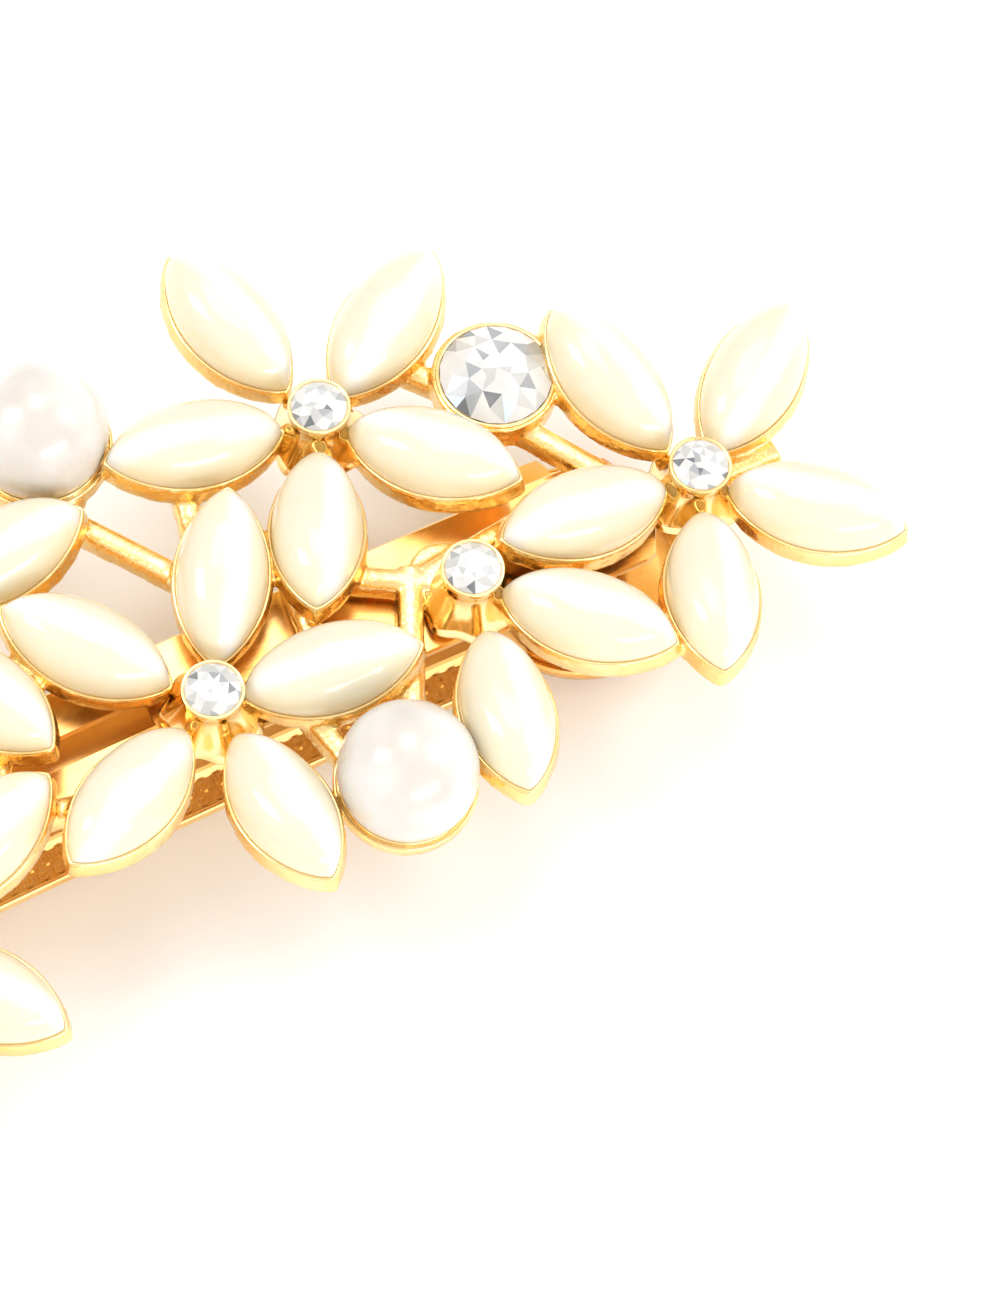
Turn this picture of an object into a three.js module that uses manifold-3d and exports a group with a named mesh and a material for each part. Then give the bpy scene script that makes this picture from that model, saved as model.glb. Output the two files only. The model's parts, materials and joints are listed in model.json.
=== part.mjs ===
// A flower barrette: a gilt casting of five-petal flowers set with stones and pearls,
// riveted on a sprung hair clip. Millimetres, +X along the clip, +Z up, standing on z = 0.

import * as THREE from 'three';
import { mergeVertices } from 'three/addons/utils/BufferGeometryUtils.js';
import Module from 'manifold-3d';

const wasm = await Module();
wasm.setup();

// The whole piece is gently domed, to follow a head.
const DOME_RADIUS_X = 280;
const DOME_RADIUS_Y = 180;

// Petal stones: navette cabochons of about 10 x 5 mm, in trays with a thin rim.
const PETAL_HALF_LENGTH = 5.15;
const PETAL_HALF_WIDTH = 2.6;
const PETAL_HEIGHT = 3.2;
// How far the stone's outline has drawn in, as [scale, height], up to its apex.
const PETAL_LAYERS = [[1, 0], [1, 1.2], [0.88, 2.2], [0.55, 2.9]];
const SETTING_GAP = 0.1;
const RIM = 0.3;
const TRAY_HEIGHT = 2;
const TRAY_FLOOR = 1;
const SEAT_GAP = 0.25;
const PETAL_RADIUS = 7.6;
const PETAL_TILT = 6;
const PETAL_LIFT = 0.45;
const PETAL_COUNT = 5;
const POCKET_REACH = 2.2;
const CURVE_STEPS = 4;

// The half-sunk bars between the flowers.
const BAR_RADIUS = 0.6;
const BAR_HEIGHT = 1;
const BAR_OVERLAP = 0.8;
const BAR_SIDES = 5;

// Round stones and pearls.
const SMALL_STONE_RADIUS = 1.55;
const LARGE_STONE_RADIUS = 3.2;
const PEARL_RADIUS = 4;
const PEARL_CENTRE = 3.3;
const PEARL_FLAT = 0.8;
const POST_SEAT = 3.2;
const LARGE_CUP_HEIGHT = 2.6;
const LARGE_CUP_SEAT = 1;
const PEARL_CUP_HEIGHT = 1.5;
const PEARL_CUP_FLOOR = 0.5;
const PEARL_ROOM = 3.75;
// Room for the widest part of the pearl, above its cup.
const PEARL_CLEAR = 4.15;
const CUP_WALL = 0.35;
const CUP_SEGMENTS = 14;
const STONE_SEGMENTS = 10;
// The flared post and cup under each small stone, as [radius, height] from its foot to its seat.
const POST_PROFILE = [
  [0, 0], [3, 0], [3, 0.5], [2.2, 1.2], [1.7, 2.5], [1.95, 2.9], [1.95, 3.9], [1.75, 3.9],
  [1.75, POST_SEAT - SEAT_GAP], [0, POST_SEAT - SEAT_GAP],
];
const POST_SEGMENTS = 8;
// A cut stone's profile, in shares of its radius.
const BRILLIANT_PROFILE = [[0, 0], [0.55, 0], [1, 0.35], [1, 0.48], [0.58, 0.8], [0, 0.8]];
// Pegs under the casting that meet the clip's rivets.
const PEG = { radius: 2.1, bottom: -0.1, top: 0.8 };

// The clip.
const ARM_WIDTH = 7.9;
const ARM_FLOOR = 0.5;
const ARM_SINK = 0.1;
const NECK_OVERLAP = 1;
const ARM_LIP = 1.1;
const ARM_LIP_WIDTH = 0.5;
const ARM_BEAD = 0.95;
const ARM_BEAD_HALF = 1.6;
const PLATE_WIDTH = 7.2;
const PLATE_THICKNESS = 0.6;
const PLATE_END = 0.5;
const LUG_REACH = 1.5;
const SLOT = { at: -4.5, x: 20, y: 1.8 };
const PLATE_UNDERSIDE = 8;
const CASTING_GAP = 0.4;
const CLIP_HALF = 36;
const ARM_HALF = 28;
const CLIP_Y = -2.4;
const PIN_RADIUS = 0.6;
const PIN_CLEARANCE = 0.05;
const PIN_END = 0.4;
const KNUCKLE_RADIUS = 1.2;
const LUG_THICKNESS = 0.6;
const LUG_GAP = 0.3;
const PAD_X = 32.4;
const PAD_RADIUS = 6.7;
const PAD_STEP = 0.9;
const PAD_SEGMENTS = 28;
// The dished finger pad, as [radius, height].
const PAD_PROFILE = [
  [0, 0], [PAD_RADIUS - 0.7, 0], [PAD_RADIUS, 0.6], [PAD_RADIUS, 1.3],
  [PAD_RADIUS - 0.4, 1.3], [PAD_RADIUS - 1, 0.5], [0, 0.5],
];
// The tongue that joins the pad to the arm's strip.
const TONGUE = { x: 3.2, y: 6, inset: 5.2 };
const WINDOW = { x: 5.8, y: 6.3 };
const CATCH_X = 30.6;
const CATCH_LENGTH = 4.6;
const CATCH_BASE = { x: 6, y: 4.8, z: 0.5, gap: 0.3 };
const EAR_TOP = PLATE_UNDERSIDE - 0.35;
// The back ear, seen along the clip, as [y, height]: hook, wall, wing and root.
const EAR_PROFILE = [
  [2.45, 0.25], [3.55, 0.25], [3.55, 0.65], [2.9, 0.65], [2.9, 4.7], [6.35, 4.2], [6.35, 4.65],
  [2.9, 5.4], [2.9, EAR_TOP], [2.7, EAR_TOP], [2.45, EAR_TOP - 0.25],
];
const BOW_WIDTH = 4.4;
const BOW_THICKNESS = 0.4;
const BOW_ENDS = [-28, 20.5];
const BOW_DROP = 0.9;
const BOW_SLOPE = 1;
const BOW_GAP = 0.4;
// Bridges under the top plate that hold the tension bar: where each is, and how far it reaches down.
const KEEPERS = [[-26, 1.4], [18.5, 2.7]];
const KEEPER_LENGTH = 1.6;
const KEEPER_THICKNESS = 0.4;
const KEEPER_ROOM = 0.5;
const KEEPER_ROOT = 0.2;
const RIVETS = { left: -31.5, right: 24 };
const RIVET_RADIUS = 0.8;
const RIVET_BORE = 0.9;
const RIVET_HEAD = [[0, -1], [1.1, -1], [1.3, -0.7], [1.3, -0.3], [RIVET_RADIUS, -0.3]];
const CATCH_RIVET_HEAD = [[0, -2], [1.1, -2], [1.4, -1.7], [1.4, -1.1], [RIVET_RADIUS, -1.1]];
const TURNED_SEGMENTS = 16;
const ARCH_STEPS = 11;

// The clip's arch brings its hinge end down to the table.
const RISE = CLIP_HALF ** 2 / (2 * DOME_RADIUS_X);
const CAST_BASE = PLATE_UNDERSIDE + PLATE_THICKNESS + CASTING_GAP;
// Where the clip's pin runs, across the clip at its left end.
const PIN_X = -CLIP_HALF;
const PIN_Z = KNUCKLE_RADIUS;

// Flowers: their centres, and for each petal its direction in degrees and its centre's distance.
const FLOWERS = {
  crest: { x: 21.5, y: 11, petals: [[32, 7.5], [104, 8.2], [169, 7.5], [243, 7.5], [314, 7.1]] },
  middle: { x: 8.5, y: -2, petals: [[-11, 7.1], [60, 7.7], [130, 8], [206, 7.7], [275, 7.8]] },
  end_right: { x: 39.2, y: -1.1, petals: [[36, 7.5], [104, 7.9], [177, 7.3], [249, 7.6], [319, 7.2]] },
  bridge: { x: 24.7, y: -1.6, petals: [[-45, 7.2], [-103, 8.6]] },
  upper: { x: -5.5, y: 10.5, petals: ring(4).filter(([angle]) => angle !== 220) },
  lower: { x: -14.4, y: -6.4, petals: [[18, 8.5], [92, 7.6], [165, 7.6], [237, 7.6], [307, 7]] },
  end_left: { x: -36.7, y: -3, petals: ring(36) },
};
const PEARLS = {
  front: [16.2, -10.7],
  back: [7, 17],
  left: [-20.5, 8.5],
};
const LARGE_STONES = {
  right: [31.8, 9.3],
  left: [-25.8, -15.7],
};

// Bars that tie the casting together, each from one point to another.
const BARS = [
  [[7, 11.2], [10, 6.7]],
  [[32.3, 6], [36.3, -0.3]],
  [[9.5, 15], [13.5, 12]],
  [[13, 11], [12, 6.5]],
  [[16, 3], [15.5, -1.5]],
  [[18.5, 2.2], [24, -1]],
  [[22, 0.3], [18, -8]],
  [[23.8, 0.2], [29.5, 1]],
  [[19.5, -11], [23, -8.5]],
  [[13, -10.5], [9.5, -9]],
  [[14, -8], [13, -3.5]],
  [[32.5, -8.2], [36.5, -8]],
  [[29, 11], [27, 13.5]],
  [[-3, -3.5], [2.5, -4.5]],
  [[-3, 5.5], [2.5, 4]],
  [[-2.5, 2], [-6, -3]],
  [[-13.5, 14.5], [-17.5, 11.5]],
  [[-24, 6.8], [-28.5, 3.6]],
  [[-17.2, 6.3], [-13.8, 3.5]],
  [[-22.8, -15], [-19, -14.6]],
  [[-26.3, -12.6], [-28.5, -9.8]],
  [[-24, -4], [-30, -5.5]],
  [[6.8, 13.3], [3, 11.5]],
  [[41.5, -1.1], [44, -1]],
];

const GOLD = { color: 0xe6b95c, roughness: 0.25, metalness: 1 };
const STEEL = { color: 0xd9b266, roughness: 0.3, metalness: 1 };
const IVORY = { color: 0xf3e3bf, roughness: 0.2, metalness: 0 };
const CRYSTAL = { color: 0xe8eef2, roughness: 0.03, metalness: 0.1 };
const PEARL = { color: 0xf4efe8, roughness: 0.25, metalness: 0 };

const barrette = new THREE.Group();

// A whole, regular flower's petals, from the first one round.
function ring(first) {
  return Array.from({ length: PETAL_COUNT }, (_, i) => [first + (i * 360) / PETAL_COUNT, PETAL_RADIUS]);
}

function dome(x, y = 0) {
  return -(x ** 2) / (2 * DOME_RADIUS_X) - y ** 2 / (2 * DOME_RADIUS_Y);
}

// A matrix that stands a piece on the dome at (x, y), square to its surface and lifted along it.
function onDome(x, y, z, lift = 0) {
  const up = new THREE.Vector3(x / DOME_RADIUS_X, y / DOME_RADIUS_Y, 1).normalize();
  const turn = new THREE.Quaternion().setFromUnitVectors(new THREE.Vector3(0, 0, 1), up);
  const place = new THREE.Vector3(x, y, RISE + z + dome(x, y)).addScaledVector(up, lift);
  return new THREE.Matrix4().compose(place, turn, new THREE.Vector3(1, 1, 1));
}

function toSolid(geometry, matrix = new THREE.Matrix4()) {
  const bare = new THREE.BufferGeometry();
  bare.setAttribute('position', geometry.getAttribute('position').clone());
  if (geometry.index) {
    bare.setIndex(geometry.index.clone());
  }
  bare.applyMatrix4(matrix);
  const merged = mergeVertices(bare, 1e-4);
  const corners = merged.index.array;
  const kept = [];
  for (let i = 0; i < corners.length; i += 3) {
    const [a, b, c] = corners.slice(i, i + 3);
    if (a !== b && b !== c && c !== a) {
      kept.push(a, b, c);
    }
  }
  return new wasm.Manifold(new wasm.Mesh({
    numProp: 3,
    vertProperties: new Float32Array(merged.getAttribute('position').array),
    triVerts: new Uint32Array(kept),
  }));
}

function toGeometry(solid) {
  const mesh = solid.getMesh();
  const geometry = new THREE.BufferGeometry();
  geometry.setAttribute('position', new THREE.BufferAttribute(mesh.vertProperties, 3));
  geometry.setIndex(new THREE.BufferAttribute(mesh.triVerts, 1));
  geometry.computeVertexNormals();
  return geometry;
}

function addNode(name, solid, finish, matrix = new THREE.Matrix4()) {
  const mesh = new THREE.Mesh(toGeometry(solid), new THREE.MeshStandardMaterial(finish));
  mesh.name = name;
  mesh.applyMatrix4(matrix);
  barrette.add(mesh);
}

function join(solids) {
  return solids.reduce((whole, solid) => whole.add(solid));
}

function move(x, y, z) {
  return new THREE.Matrix4().makeTranslation(x, y, z);
}

// Two equal arcs that meet in a point at each end.
function navette(halfLength, halfWidth) {
  const radius = (halfLength ** 2 + halfWidth ** 2) / (2 * halfWidth);
  const sweep = Math.asin(halfLength / radius);
  const shape = new THREE.Shape();
  shape.absarc(0, halfWidth - radius, radius, Math.PI / 2 - sweep, Math.PI / 2 + sweep);
  shape.absarc(0, radius - halfWidth, radius, -Math.PI / 2 - sweep, -Math.PI / 2 + sweep);
  return shape;
}

function prism(shape, height) {
  const options = { depth: height, bevelEnabled: false, curveSegments: CURVE_STEPS };
  return new THREE.ExtrudeGeometry(shape, options);
}

// One outline at rising heights, each copy scaled about the centre, closed by an apex.
function cabochon(shape, layers, apex) {
  const outline = shape.getPoints(CURVE_STEPS);
  outline.pop();
  const count = outline.length;
  const points = [0, 0, 0];
  for (const [scale, z] of layers) {
    outline.forEach((p) => points.push(p.x * scale, p.y * scale, z));
  }
  points.push(0, 0, apex);
  const index = [];
  const top = layers.length * count + 1;
  for (let i = 0; i < count; i += 1) {
    const next = (i + 1) % count;
    index.push(0, next + 1, i + 1);
    for (let k = 0; k < layers.length - 1; k += 1) {
      const a = k * count + 1;
      const b = a + count;
      index.push(a + i, a + next, b + next, a + i, b + next, b + i);
    }
    index.push(top - count + i, top - count + next, top);
  }
  const geometry = new THREE.BufferGeometry();
  geometry.setAttribute('position', new THREE.Float32BufferAttribute(points, 3));
  geometry.setIndex(index);
  return geometry;
}

// A turned piece: its profile is a list of [radius, height] that starts and ends on the axis.
function turned(profile, segments) {
  const points = profile.map(([r, z]) => new THREE.Vector2(r, z));
  return new THREE.LatheGeometry(points, segments).rotateX(Math.PI / 2);
}

// A plate across the clip from y0 to y1, between two heights, that follows the arch.
function archedBand(x0, x1, z0, z1, y0, y1, bow = () => 0) {
  const step = (x1 - x0) / ARCH_STEPS;
  const along = Array.from({ length: ARCH_STEPS + 1 }, (_, i) => x0 + i * step);
  const level = (x) => RISE + dome(x) + bow(x);
  const lower = along.map((x) => new THREE.Vector2(x, z0 + level(x)));
  const upper = along.map((x) => new THREE.Vector2(x, z1 + level(x))).reverse();
  const band = prism(new THREE.Shape([...lower, ...upper]), y1 - y0);
  return toSolid(band.rotateX(Math.PI / 2), move(0, y1, 0));
}

function block(x, y, z, matrix) {
  return toSolid(new THREE.BoxGeometry(x, y, z), matrix);
}

function rod(radius, length, segments, matrix) {
  return toSolid(new THREE.CylinderGeometry(radius, radius, length, segments), matrix);
}

function upright(radius, z0, z1, segments, place) {
  const post = new THREE.CylinderGeometry(radius, radius, z1 - z0, segments).rotateX(Math.PI / 2);
  return toSolid(post.translate(0, 0, (z0 + z1) / 2), place);
}

function petalMatrix(flower, [angle, distance]) {
  return onDome(flower.x, flower.y, CAST_BASE)
    .multiply(new THREE.Matrix4().makeRotationZ(THREE.MathUtils.degToRad(angle)))
    .multiply(move(distance, 0, PETAL_LIFT))
    .multiply(new THREE.Matrix4().makeRotationY(-THREE.MathUtils.degToRad(PETAL_TILT)));
}

function petalPlaces() {
  return Object.entries(FLOWERS).flatMap(([name, flower]) =>
    flower.petals.map((petal, i) => ({
      name: `petal_${name}_${i + 1}`,
      matrix: petalMatrix(flower, petal),
    })));
}

function castingBar([[ax, ay], [bx, by]]) {
  const level = (x, y) => RISE + CAST_BASE + BAR_HEIGHT + dome(x, y);
  const from = new THREE.Vector3(ax, ay, level(ax, ay));
  const to = new THREE.Vector3(bx, by, level(bx, by));
  const along = to.clone().sub(from);
  const length = along.length() + 2 * BAR_OVERLAP;
  const turn = new THREE.Quaternion();
  turn.setFromUnitVectors(new THREE.Vector3(0, 1, 0), along.normalize());
  const middle = from.add(to).multiplyScalar(0.5);
  const place = new THREE.Matrix4().compose(middle, turn, new THREE.Vector3(1, 1, 1));
  return rod(BAR_RADIUS, length, BAR_SIDES, place);
}

function flowerPost(flower) {
  return toSolid(turned(POST_PROFILE, POST_SEGMENTS), onDome(flower.x, flower.y, CAST_BASE));
}

// A round solid that stands on the casting's base, used for a cup and for the room inside it.
function castingDrum([x, y], radius, bottom, top) {
  return upright(radius, bottom, top, CUP_SEGMENTS, onDome(x, y, CAST_BASE));
}

function addCasting() {
  const places = petalPlaces();
  const inner = [PETAL_HALF_LENGTH + SETTING_GAP, PETAL_HALF_WIDTH + SETTING_GAP];
  const trayShape = navette(inner[0] + RIM, inner[1] + RIM);
  const trays = places.map(({ matrix }) => toSolid(prism(trayShape, TRAY_HEIGHT), matrix));
  const pockets = places.map(({ matrix }) => {
    const lifted = matrix.clone().multiply(move(0, 0, TRAY_FLOOR));
    return toSolid(prism(navette(...inner), POCKET_REACH), lifted);
  });
  const stones = Object.values(LARGE_STONES);
  const pearls = Object.values(PEARLS);
  const stoneRoom = LARGE_STONE_RADIUS + SETTING_GAP;
  const cups = [
    ...stones.map((at) => castingDrum(at, stoneRoom + CUP_WALL, 0, LARGE_CUP_HEIGHT)),
    ...pearls.map((at) => castingDrum(at, PEARL_ROOM + CUP_WALL, 0, PEARL_CUP_HEIGHT)),
  ];
  const rooms = [
    ...stones.map((at) => castingDrum(at, stoneRoom, LARGE_CUP_SEAT - SEAT_GAP, LARGE_CUP_HEIGHT + 1)),
    ...pearls.map((at) => castingDrum(at, PEARL_ROOM, PEARL_CUP_FLOOR, PEARL_CUP_HEIGHT)),
    ...pearls.map((at) => castingDrum(at, PEARL_CLEAR, PEARL_CUP_HEIGHT, LARGE_CUP_HEIGHT + 1)),
  ];
  const pegs = Object.values(RIVETS).map((x) => castingDrum([x, 0], PEG.radius, PEG.bottom, PEG.top));
  const posts = Object.values(FLOWERS).map(flowerPost);
  const solid = join([...trays, ...cups, ...pegs, ...posts, ...BARS.map(castingBar)]);
  addNode('cast_frame', solid.subtract(join([...pockets, ...rooms])), GOLD);
}

function addPetals() {
  const outline = navette(PETAL_HALF_LENGTH, PETAL_HALF_WIDTH);
  const stone = toSolid(cabochon(outline, PETAL_LAYERS, PETAL_HEIGHT));
  for (const { name, matrix } of petalPlaces()) {
    addNode(name, stone, IVORY, matrix.multiply(move(0, 0, TRAY_FLOOR + SEAT_GAP)));
  }
}

function brilliant(radius) {
  const profile = BRILLIANT_PROFILE.map(([r, z]) => [r * radius, z * radius]);
  return toSolid(turned(profile, STONE_SEGMENTS));
}

function addRoundStones() {
  for (const [name, { x, y }] of Object.entries(FLOWERS)) {
    const stone = brilliant(SMALL_STONE_RADIUS);
    addNode(`rhinestone_${name}`, stone, CRYSTAL, onDome(x, y, CAST_BASE, POST_SEAT));
  }
  for (const [name, [x, y]] of Object.entries(LARGE_STONES)) {
    const stone = brilliant(LARGE_STONE_RADIUS);
    addNode(`large_stone_${name}`, stone, CRYSTAL, onDome(x, y, CAST_BASE, LARGE_CUP_SEAT));
  }
}

function addPearls() {
  const start = Math.asin((PEARL_FLAT - PEARL_CENTRE) / PEARL_RADIUS);
  const steps = 7;
  const profile = [[0, PEARL_FLAT]];
  for (let i = 0; i < steps; i += 1) {
    const angle = start + (i / steps) * (Math.PI / 2 - start);
    profile.push([PEARL_RADIUS * Math.cos(angle), PEARL_CENTRE + PEARL_RADIUS * Math.sin(angle)]);
  }
  profile.push([0, PEARL_CENTRE + PEARL_RADIUS]);
  const pearl = toSolid(turned(profile, CUP_SEGMENTS));
  for (const [name, [x, y]] of Object.entries(PEARLS)) {
    addNode(`pearl_${name}`, pearl, PEARL, onDome(x, y, CAST_BASE));
  }
}

// Where the catch is riveted under the top plate, above the window in the finger pad.
function catchSeat() {
  return onDome(CATCH_X, 0, 0, PLATE_UNDERSIDE);
}

function pinRod(radius, length) {
  return rod(radius, length, TURNED_SEGMENTS, move(PIN_X, 0, PIN_Z));
}

function addTopPlate() {
  const half = PLATE_WIDTH / 2;
  const top = PLATE_UNDERSIDE + PLATE_THICKNESS;
  const ends = [-CLIP_HALF - LUG_REACH, CLIP_HALF + PLATE_END];
  const plate = archedBand(...ends, PLATE_UNDERSIDE, top, -half, half);
  const lugTop = PLATE_UNDERSIDE + PLATE_THICKNESS / 2;
  const lugs = [-1, 1].map((side) => {
    const y = side * (half - LUG_THICKNESS / 2);
    const place = move(PIN_X, y, (lugTop + PIN_Z) / 2);
    const cheek = block(2 * KNUCKLE_RADIUS, LUG_THICKNESS, lugTop - PIN_Z, place);
    return cheek.add(rod(KNUCKLE_RADIUS, LUG_THICKNESS, TURNED_SEGMENTS, move(PIN_X, y, PIN_Z)));
  });
  const keepers = KEEPERS.flatMap(([x, reach]) => {
    const at = (y, z) => onDome(x, 0, PLATE_UNDERSIDE).multiply(move(0, y, z));
    const legY = BOW_WIDTH / 2 + KEEPER_ROOM;
    const legZ = KEEPER_ROOT - reach / 2;
    const legHeight = reach + 2 * KEEPER_ROOT;
    const strap = block(KEEPER_LENGTH, 2 * legY + KEEPER_THICKNESS, KEEPER_THICKNESS, at(0, -reach));
    const legs = [-legY, legY].map((y) =>
      block(KEEPER_LENGTH, KEEPER_THICKNESS, legHeight, at(y, legZ)));
    return [strap, ...legs];
  });
  const seats = [...Object.values(RIVETS).map((x) => onDome(x, 0, PLATE_UNDERSIDE)), catchSeat()];
  const bores = seats.map((seat) => upright(RIVET_BORE, -2, 2, TURNED_SEGMENTS, seat));
  const slot = block(SLOT.x, SLOT.y, 4, move(SLOT.at, 0, RISE + PLATE_UNDERSIDE));
  const pinBore = pinRod(PIN_RADIUS + PIN_CLEARANCE, 2 * PLATE_WIDTH);
  const solid = join([plate, ...lugs, ...keepers]).subtract(join([...bores, slot, pinBore]));
  addNode('top_plate', solid, STEEL);
}

function addSwingArm() {
  const half = ARM_WIDTH / 2;
  const strip = (z0, z1, y0, y1) => archedBand(-ARM_HALF, ARM_HALF, z0, z1, y0, y1);
  const floor = strip(0, ARM_FLOOR, -half, half);
  const lips = [-half, half - ARM_LIP_WIDTH].map((y) => strip(ARM_SINK, ARM_LIP, y, y + ARM_LIP_WIDTH));
  const bead = strip(ARM_SINK, ARM_BEAD, -ARM_BEAD_HALF, ARM_BEAD_HALF);
  const neckHalf = PLATE_WIDTH / 2 - LUG_THICKNESS - LUG_GAP;
  const neck = archedBand(PIN_X, NECK_OVERLAP - ARM_HALF, 0, ARM_FLOOR, -neckHalf, neckHalf);
  const knuckle = pinRod(KNUCKLE_RADIUS, 2 * neckHalf);
  const pad = toSolid(turned(PAD_PROFILE, PAD_SEGMENTS), onDome(PAD_X, 0, PAD_STEP));
  const tongueTop = PAD_STEP + ARM_FLOOR;
  const tongue = block(TONGUE.x, TONGUE.y, tongueTop, onDome(PAD_X - TONGUE.inset, 0, tongueTop / 2));
  const window = block(WINDOW.x, WINDOW.y, 6, onDome(CATCH_X, 0, 0));
  const bore = pinRod(PIN_RADIUS + PIN_CLEARANCE, 2 * PLATE_WIDTH);
  const solid = join([floor, ...lips, bead, neck, knuckle, pad, tongue]);
  addNode('swing_arm', solid.subtract(join([window, bore])), STEEL);
}

// The bar is bowed towards the hair, and its free end hangs lower, so that it can be pressed up.
function addTensionBar() {
  const [x0, x1] = BOW_ENDS;
  const middle = (x0 + x1) / 2;
  const bow = (x) => {
    const arch = 1 - ((x - middle) / (middle - x0)) ** 2;
    return -BOW_DROP * arch - (BOW_SLOPE * (x - x0)) / (x1 - x0);
  };
  const top = PLATE_UNDERSIDE - BOW_GAP;
  const half = BOW_WIDTH / 2;
  addNode('tension_bar', archedBand(x0, x1, top - BOW_THICKNESS, top, -half, half, bow), STEEL);
}

// The catch: a riveted base and two sprung ears whose feet hook under the pad's window.
function addCatch() {
  const place = onDome(CATCH_X, 0, 0);
  const baseZ = PLATE_UNDERSIDE - CATCH_BASE.gap - CATCH_BASE.z / 2;
  const baseAt = place.clone().multiply(move(0, 0, baseZ));
  const base = block(CATCH_BASE.x, CATCH_BASE.y, CATCH_BASE.z, baseAt);
  const bore = upright(RIVET_BORE, -3, 0, TURNED_SEGMENTS, catchSeat());
  addNode('catch_base', base.subtract(bore), STEEL);
  for (const [name, side] of [['ear_front', -1], ['ear_back', 1]]) {
    const profile = new THREE.Shape(EAR_PROFILE.map(([y, z]) => new THREE.Vector2(side * y, z)));
    const ear = prism(profile, CATCH_LENGTH).rotateX(Math.PI / 2).rotateZ(Math.PI / 2);
    addNode(name, toSolid(ear, place.clone().multiply(move(-CATCH_LENGTH / 2, 0, 0))), STEEL);
  }
}

function addRivet(name, head, place) {
  const profile = [...head, [RIVET_RADIUS, PLATE_THICKNESS], [0, PLATE_THICKNESS]];
  addNode(`rivet_${name}`, toSolid(turned(profile, TURNED_SEGMENTS), place), STEEL);
}

function addFasteners() {
  addNode('hinge_pin', pinRod(PIN_RADIUS, PLATE_WIDTH + 2 * PIN_END), STEEL);
  for (const [name, x] of Object.entries(RIVETS)) {
    addRivet(name, RIVET_HEAD, onDome(x, 0, PLATE_UNDERSIDE));
  }
  addRivet('catch', CATCH_RIVET_HEAD, catchSeat());
}

addCasting();
addPetals();
addRoundStones();
addPearls();
addTopPlate();
addSwingArm();
addTensionBar();
addCatch();
addFasteners();

// The origin is under the middle of the whole piece, so the clip lies a little to the front.
barrette.position.y = CLIP_Y;

export default barrette;
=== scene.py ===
import json
import math
import random

import bmesh
import bpy
import numpy as np
from mathutils import Matrix, Vector, noise


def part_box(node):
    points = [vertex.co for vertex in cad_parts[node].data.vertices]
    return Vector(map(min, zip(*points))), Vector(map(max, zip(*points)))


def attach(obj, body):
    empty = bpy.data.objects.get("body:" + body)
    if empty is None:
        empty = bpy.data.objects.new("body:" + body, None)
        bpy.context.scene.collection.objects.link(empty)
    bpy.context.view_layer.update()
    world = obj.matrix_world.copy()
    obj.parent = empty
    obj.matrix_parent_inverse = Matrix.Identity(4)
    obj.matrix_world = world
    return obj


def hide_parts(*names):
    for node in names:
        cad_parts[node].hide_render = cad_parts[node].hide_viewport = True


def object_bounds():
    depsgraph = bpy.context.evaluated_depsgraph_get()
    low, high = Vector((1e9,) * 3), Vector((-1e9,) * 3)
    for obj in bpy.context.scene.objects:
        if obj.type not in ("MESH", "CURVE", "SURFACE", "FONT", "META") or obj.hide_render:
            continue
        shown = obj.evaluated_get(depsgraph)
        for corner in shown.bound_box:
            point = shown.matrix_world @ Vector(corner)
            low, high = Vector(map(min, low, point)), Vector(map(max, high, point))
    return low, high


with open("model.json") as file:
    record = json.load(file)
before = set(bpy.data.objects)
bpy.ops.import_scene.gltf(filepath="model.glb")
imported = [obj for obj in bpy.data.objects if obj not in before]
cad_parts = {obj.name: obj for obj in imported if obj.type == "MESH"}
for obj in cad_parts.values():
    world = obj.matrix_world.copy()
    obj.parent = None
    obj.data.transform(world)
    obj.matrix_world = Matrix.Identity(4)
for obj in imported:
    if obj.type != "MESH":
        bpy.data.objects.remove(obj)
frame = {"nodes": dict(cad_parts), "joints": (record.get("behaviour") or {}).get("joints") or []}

CAD_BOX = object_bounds()
MM = 0.001

# Shape of the clip and of the dome that everything stands on, in metres, as in the CAD model.
DOME_RADIUS_X = 280 * MM
DOME_RADIUS_Y = 180 * MM
CLIP_Y = frame["joints"][0]["pos_m"][1]
PIN_X = frame["joints"][0]["pos_m"][0]
RISE = PIN_X ** 2 / (2 * DOME_RADIUS_X)
PLATE_UNDERSIDE = 8 * MM
PLATE_THICKNESS = 0.6 * MM
PLATE_HALF_WIDTH = 3.6 * MM
CAST_BASE = 9 * MM
ARM_HALF_LENGTH = 28 * MM
NECK_HALF_WIDTH = 2.7 * MM
KNUCKLE_RADIUS = 1.2 * MM
KNUCKLE_BORE = 0.66 * MM
LUG_THICKNESS = 0.6 * MM
PAD_X = 32.4 * MM
PAD_RADIUS = 6.7 * MM
PAD_STEP = 0.9 * MM
CATCH_X = 30.6 * MM
CATCH_LENGTH = 4.6 * MM
# Half sizes of the openings through the pad and the plate, and of the block that cuts them.
WINDOW = (2.9 * MM, 3.15 * MM)
SLOT = (10 * MM, 0.9 * MM)
SLOT_X = -4.5 * MM
CUT_HALF_HEIGHT = 4 * MM
# The tension bar: its ends, half width, thickness, gap to the plate, sag and drop towards its free end.
BOW = (-28 * MM, 20.5 * MM)
BOW_HALF_WIDTH = 2.2 * MM
BOW_THICKNESS = 0.4 * MM
BOW_GAP = 0.4 * MM
BOW_SAG = 0.9 * MM
BOW_DROP = 1 * MM
# Bridges that hold it, in millimetres: where along the clip, and how far down.
KEEPERS = [(-26, 1.4), (18.5, 2.7)]

# Stones, in metres.
PETAL_HALF_LENGTH = 5.15 * MM
PETAL_HALF_WIDTH = 2.6 * MM
PETAL_SIDE = 0.8 * MM
PETAL_HEIGHT = 3.2 * MM
PETAL_STEPS = 17
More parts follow.
